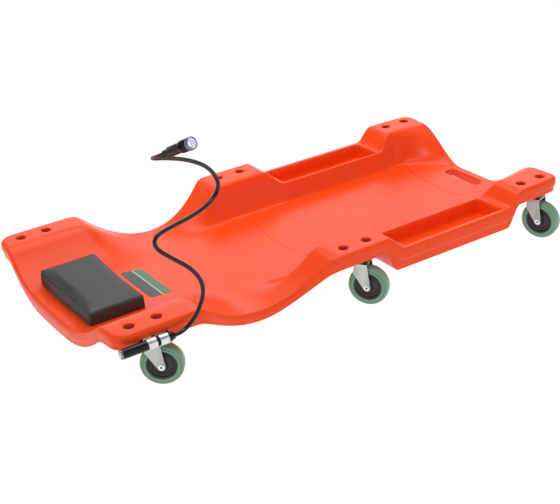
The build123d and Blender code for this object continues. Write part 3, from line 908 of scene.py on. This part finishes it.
def make_cushion():
    low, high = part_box("headrest_cushion")
    cover = cushion_block(low, high, start_inset, start_cell)
    swell(cover, swell_cap)
    shape_cover(cover, low, high)
    finer = cover.modifiers.new("finer", "SUBSURF")
    finer.levels = finer.render_levels = 1
    apply_modifiers(cover)
    limit_low, limit_high = low - stand_proud_low, high + stand_proud_high
    for vertex in cover.data.vertices:
        for k in range(3):
            vertex.co[k] = max(limit_low[k], min(limit_high[k], vertex.co[k]))
    crease_cover(cover, low, high)
    for face in cover.data.polygons:
        face.use_smooth = True
    cover.data.materials.clear()
    cover.data.materials.append(looks["vinyl"])
    cover.name = "headrest_cover"
    seam_pieces(cover, low, high)
    install(cover, "headrest_cushion", "bed_frame")


def crease_cover(cover, low, high):
    """Sink the sewn line round the sides, just under the top edge."""
    middle, half = (low + high) / 2, (high - low) / 2
    line = high.z - seam_drop
    for vertex in cover.data.vertices:
        p = vertex.co
        away = p - middle
        past_x, past_y = abs(away.x) - half.x, abs(away.y) - half.y
        if max(past_x, past_y) > -0.006 and p.z < high.z - 0.001:
            depth = seam_depth * math.exp(-((p.z - line) / seam_width) ** 2)
            if past_x > past_y:
                p.x -= math.copysign(depth, away.x)
            else:
                p.y -= math.copysign(depth, away.y)


def seam_pieces(cover, low, high):
    """Sewn line round the top edge and folded corners down to the board."""
    middle, half = (low + high) / 2, (high - low) / 2
    line, foot = high.z - seam_drop, low.z + 0.002
    ring = [on_surface(cover, Vector((p.x, p.y, line)), 0.0002)
            for p in round_rectangle(middle, half, radius=0.006)]
    seams = [tube("cushion_seam", ring, seam_r, looks["welt"], sides=8, closed=True)]
    for number, (sx, sy) in enumerate(((1, 1), (-1, 1), (-1, -1), (1, -1)), 1):
        x, y = middle.x + sx * (half.x + 0.004), middle.y + sy * (half.y + 0.004)
        heights = [foot + (line - foot) * k / (corner_steps - 1) for k in range(corner_steps)]
        path = [on_surface(cover, Vector((x, y, z)), 0.0003) for z in heights]
        seams.append(tube(f"cushion_corner_{number}", path, corner_r, looks["welt"], sides=8,
                          share=lambda t: 0.55 + 0.45 * math.sin(math.pi * min(1, t + 0.2))))
    for seam in seams:
        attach(seam, "bed_frame")


# ------------------------------------------------------------------ label

label_rows, label_columns = 23, 41
label_lift, label_thick = 0.00025, 0.0002
label_line = (0.545, 0.59)  # the pale line's edges, as a share of the width


def make_label():
    """Thin sticker that follows the deck: charcoal, a pale line, then green, without lettering."""
    low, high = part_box("deck_label")
    rows, columns = label_rows, label_columns
    xs = [low.x + (high.x - low.x) * i / (rows - 1) for i in range(rows)]
    ys = [low.y + (high.y - low.y) * j / (columns - 1) for j in range(columns)]
    points = []
    for up in (label_lift + label_thick, label_lift):
        for x in xs:
            for y in ys:
                rounding = 0.002 * (abs(y) / high.y) ** 12
                x_in = x + (rounding if x < (low.x + high.x) / 2 else -rounding)
                points.append((x_in, y, float(deck_surface(np.array(x), np.array(abs(y)))) + up))
    count = rows * columns
    faces = [f[::-1] for f in grid_faces(rows, columns)] + grid_faces(rows, columns, first=count)
    loop = edge_loop((rows, columns))
    for (i, j), (k, l) in zip(loop, loop[1:] + loop[:1]):
        a, b = i * columns + j, k * columns + l
        faces.append((a, b, count + b, count + a))
    label = add_mesh("deck_sticker", points, faces, looks["charcoal"], sharp=50)
    label.data.materials.append(looks["sticker_line"])
    label.data.materials.append(looks["sticker_green"])
    for face in label.data.polygons:
        share = (face.center.x - low.x) / (high.x - low.x)
        face.material_index = sum(share >= edge for edge in label_line)
    fix_normals(label)
    install(label, "deck_label", "bed_frame")


# ------------------------------------------------------------------ torch

def make_torch():
    tube_low, tube_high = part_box("torch_tube")
    place = Vector((tube_low.x, (tube_low.y + tube_high.y) / 2, (tube_low.z + tube_high.z) / 2))
    length = tube_high.x - tube_low.x
    along = Vector((1, 0, 0))
    r, ring, mouth = 0.0085, 0.0003, 0.0057
    outline = [(0.0, mouth), (0.0, r - 0.0006), (0.0006, r)]
    for mark in (0.005, 0.0068, 0.0086):
        outline += [(mark, r), (mark + 0.0003, r - ring), (mark + 0.0009, r - ring), (mark + 0.0012, r)]
    outline += [(length - 0.0016, r), (length - 0.0010, r - ring), (length, r - ring)]
    outline += [(length, r - 0.0014), (0.002, r - 0.0014), (0.002, mouth)]
    body = lathe("torch_barrel", outline, place, along, looks["black"])
    socket_place = Vector((tube_high.x, place.y, place.z))
    cone = [(-0.007, 0.0041), (-0.007, r - 0.0017), (0, r - 0.0017), (0, r - 0.0004), (0.0003, r - 0.0001),
            (0.0022, r - 0.0001), (0.0028, r - 0.0008), (0.0030, r - 0.0012), (0.0060, 0.0066),
            (0.0088, 0.0056), (0.0092, 0.0052), (0.0092, 0.0041)]
    socket = lathe("torch_collar", soften(cone, 0.0003, 2), socket_place, along, looks["black"])
    tail = lathe("torch_tail", soften([(-0.0025, 0.0056), (-0.0025, 0.0078), (0, 0.0081), (0, 0.0056)],
                                      0.0004), place, along, looks["grey"])
    button = lathe("torch_push", soften([(-0.0036, 0.0), (-0.0036, 0.0049), (-0.0030, 0.0053),
                                         (0.0022, 0.0053), (0.0022, 0.0061), (0.0031, 0.0061),
                                         (0.0031, 0.0)], 0.0004), place, along, looks["pale"])
    install(body, "torch_tube", "torch")
    install(socket, "torch_socket", "torch")
    install(tail, "torch_tail_ring", "torch")
    install(button, "torch_button", "button")


# ------------------------------------------------------------------ gooseneck

NECK_R = 0.0035
NECK_ROUTE = [Vector(p) * MM for p in (
    (-409, -258, 96), (-385, -258, 96), (-361, -258, 112), (-343, -258, 140), (-338, -257, 170),
    (-355, -254, 201), (-388, -250, 229), (-413, -246, 253), (-409, -243, 271), (-375, -240, 277),
    (-325, -234, 282), (-286, -229, 297), (-275, -227, 322), (-298, -233, 356), (-339, -245, 382),
    (-384, -262, 402), (-421, -282, 417), (-423, -308, 428), (-417, -325, 437))]
NECK_CUTS = (3, 6, 9, 12, 14)
NECK_BODIES = ("torch", "neck_2", "neck_3", "neck_4", "neck_5", "lamp")
SLEEVE = 0.021  # half the length of the sleeve over each hinge


def neck_line(fine=14):
    """Smooth curve through the middles of the route's runs, and the spot of each joint on it."""
    points, joints = [NECK_ROUTE[0].copy()], []
    for k in range(1, len(NECK_ROUTE) - 1):
        a = (NECK_ROUTE[k - 1] + NECK_ROUTE[k]) / 2
        c = (NECK_ROUTE[k] + NECK_ROUTE[k + 1]) / 2
        for i in range(fine + 1):
            t = i / fine
            p = a * (1 - t) ** 2 + NECK_ROUTE[k] * 2 * t * (1 - t) + c * t * t
            if (p - points[-1]).length > 1e-5:
                points.append(p)
        if k in NECK_CUTS:
            joints.append(len(points) - 1)
    points.append(NECK_ROUTE[-1].copy())
    return points, joints


def stretch(line, lengths, start, end, step=0.0025):
    """Evenly spaced points between two distances along a line."""
    count = max(2, int(round((end - start) / step)))
    result = []
    for k in range(count + 1):
        want = start + (end - start) * k / count
        i = int(np.clip(np.searchsorted(lengths, want) - 1, 0, len(line) - 2))
        share = (want - lengths[i]) / (lengths[i + 1] - lengths[i])
        result.append(line[i].lerp(line[i + 1], share))
    return result


def make_neck():
    """Six stiff lengths of the gooseneck, and a sleeve over each hinge between them."""
    line, joints = neck_line()
    lengths = np.concatenate([[0], np.cumsum([(b - a).length for a, b in zip(line, line[1:])])])
    marks = [lengths[j] for j in joints]
    starts = [0.0] + [m + SLEEVE for m in marks]
    ends = [m - SLEEVE for m in marks] + [lengths[-1]]
    for number, (body, start, end) in enumerate(zip(NECK_BODIES, starts, ends), 1):
        path = stretch(line, lengths, start, end)
        piece = tube(f"neck_length_{number}", path, NECK_R, looks["sheath"], sides=20)
        install(piece, f"neck_{number}", body)
    for number, mark in enumerate(marks, 1):
        path = stretch(line, lengths, mark - SLEEVE, mark + SLEEVE)
        piece = tube(f"neck_bend_sleeve_{number}", path, NECK_R, looks["sheath"], sides=20)
        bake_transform(piece)


# ------------------------------------------------------------------ lamp

LAMP_AXIS = Vector((0.298, -0.846, 0.442))
BEZEL_NOTCHES = 12


def scallop(distance, angle):
    """Shallow notches round the bezel's front."""
    if distance < 0.0560:
        return 0.0
    return -0.0004 * (0.5 + 0.5 * math.cos(BEZEL_NOTCHES * angle)) ** 3


def make_lamp():
    place, along = NECK_ROUTE[-1], LAMP_AXIS
    grip = 0.0096
    outline = [(0.0006, 0.0), (0.048, 0.0), (0.048, 0.0074), (0.054, 0.0074), (0.054, grip - 0.0003),
               (0.0535, grip)]
    for mark in (0.0508, 0.0472, 0.0436):
        outline += [(mark, grip), (mark - 0.0005, grip - 0.0008), (mark - 0.0013, grip - 0.0008),
                    (mark - 0.0018, grip)]
    outline += [(0.0382, grip), (0.0350, 0.0083), (0.0340, 0.0082), (0.0104, 0.0082), (0.0094, 0.0078),
                (0.0078, 0.0066), (0.0070, 0.0054), (-0.0026, 0.0054), (-0.0030, 0.0050),
                (-0.0030, 0.0045), (0.0006, 0.0045)]
    body = lathe("lamp_barrel", outline, place, along, looks["black"], segments=64)
    rim = [(0.0540, grip - 0.0012), (0.0540, grip + 0.0004), (0.0545, grip + 0.0008),
           (0.0558, grip + 0.0008), (0.0562, grip + 0.0004), (0.0600, grip + 0.0004),
           (0.0606, grip + 0.0001), (0.0610, grip - 0.0006), (0.0606, grip - 0.0012),
           (0.0590, grip - 0.0012)]
    bezel = lathe("lamp_rim", rim, place, along, looks["grey"], segments=96, ripple=scallop)
    lens = lathe("lamp_glass", [(0.0580, 0.0), (0.0580, 0.0082), (0.0590, 0.0083), (0.0598, 0.0080),
                                (0.0601, 0.0055), (0.0602, 0.0)], place, along, looks["lens"])
    # the cup's reflector faces carry a painted glow; only the faces round the middle are the LED
    cup = lathe("lamp_reflector", [(0.0482, 0.0), (0.0482, 0.0073), (0.0540, 0.0073), (0.0542, 0.0081),
                                   (0.0577, 0.0082), (0.0577, 0.0078), (0.0545, 0.0066), (0.0515, 0.0048),
                                   (0.0498, 0.0034), (0.0498, 0.0028), (0.0508, 0.0026), (0.0512, 0.0018),
                                   (0.0514, 0.0)], place, along, looks["reflector"])
    cup.data.materials.append(looks["led"])
    for face in cup.data.polygons:
        reach = face.center - place
        off_axis = (reach - along * reach.dot(along)).length
        face.material_index = int(off_axis < 0.0036 and reach.dot(along) > 0.0490)
    install(body, "lamp_body", "lamp")
    install(bezel, "lamp_bezel", "lamp")
    install(lens, "lamp_lens", "lamp")
    install(cup, "lamp_led", "lamp")


# ------------------------------------------------------------------ CAD pieces that stay

# start of a node's name and its material; every other node is plain zinc
NODE_LOOKS = (("headrest_board", "wood"), ("torch_cells", "cell"), ("lamp_clip", "black"),
              ("caster_bolts", "oxide"), ("caster_washers", "oxide"), ("fork_", "zinc_painted_streaks"),
              ("plate_", "dark_zinc"))
# start of a node's name and the width of its rounded edges
NODE_BEVELS = (("plate_", 0.0006), ("fork_", 0.0005), ("axle_", 0.0003), ("torch_strip", 0.0003),
               ("torch_bands", 0.0003), ("torch_screws", 0.0002), ("caster_bolts", 0.0003),
               ("caster_nuts", 0.0003), ("lamp_clip", 0.0003), ("headrest_board", 0.0008))


def dress_nodes():
    """Give every CAD node that stays its material and rounded edges."""
    for name, node in frame["nodes"].items():
        look = next((look for start, look in NODE_LOOKS if name.startswith(start)), "zinc")
        node.data.materials.clear()
        node.data.materials.append(looks[look])
        for start, width in NODE_BEVELS:
            if name.startswith(start):
                bevel(node, width)


# ------------------------------------------------------------------ make it

place_camera()
light_studio()
lay_floor()
looks = make_materials()
dress_nodes()
make_bed()
make_wheels()
make_cushion()
make_label()
make_torch()
make_neck()
make_lamp()
